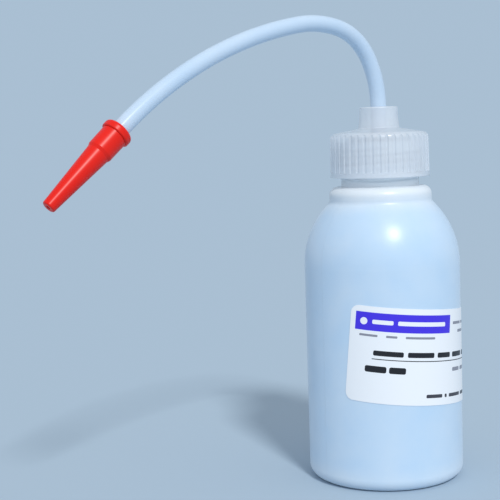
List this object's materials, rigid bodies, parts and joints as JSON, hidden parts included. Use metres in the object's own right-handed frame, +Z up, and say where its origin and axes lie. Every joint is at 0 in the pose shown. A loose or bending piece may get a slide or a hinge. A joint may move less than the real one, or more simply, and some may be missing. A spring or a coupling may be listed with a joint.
{
  "type": "wash bottle",
  "caption": "Squeeze wash bottle: soft translucent body, ribbed screw cap with chimney, bent delivery tube with a red jet nozzle, straight dip tube and a wrap-round film label.",
  "frame": {"origin": "centre of the foot ring, on the bottle's axis, at the height that the bottle stands on", "axes": "+Z up along the bottle's axis; the spout reaches towards -X in the XZ plane; the label faces -Y"},
  "size_m": [0.1422, 0.0497, 0.1464],
  "materials": {
    "bottle_wall": "blown low-density polyethylene, milky and translucent, satin",
    "label_film": "smooth white self-adhesive sheet, printed",
    "cap_plastic": "moulded polypropylene, natural and clearer than the bottle",
    "tube_plastic": "extruded low-density polyethylene, milky, satin",
    "nozzle_red": "moulded red polyethylene, soft gloss"
  },
  "bodies": {
    "bottle": {"bottle": "bottle_wall", "label": "label_film"},
    "dip_tube": {"dip_tube": "tube_plastic"},
    "cap": {"cap": "cap_plastic"},
    "spout": {"delivery_tube": "tube_plastic", "nozzle": "nozzle_red"}
  },
  "joints": [
    {"name": "cap_lift", "type": "slide", "parent": "bottle", "child": "dip_tube", "axis": [0, 0, 1], "range_m": [0, 0.00601]},
    {"name": "cap_turn", "type": "hinge", "parent": "dip_tube", "child": "cap", "pos_m": [0, 0, 0.102], "axis": [0, 0, 1], "range_deg": [0, 540]},
    {"name": "spout_swivel", "type": "hinge", "parent": "cap", "child": "spout", "pos_m": [0, 0, 0.112], "axis": [0, 0, 1], "continuous": true}
  ],
  "couplings": [
    {"joint": "cap_lift", "follows": "cap_turn", "m_per_rad": 0.00063662}
  ]
}
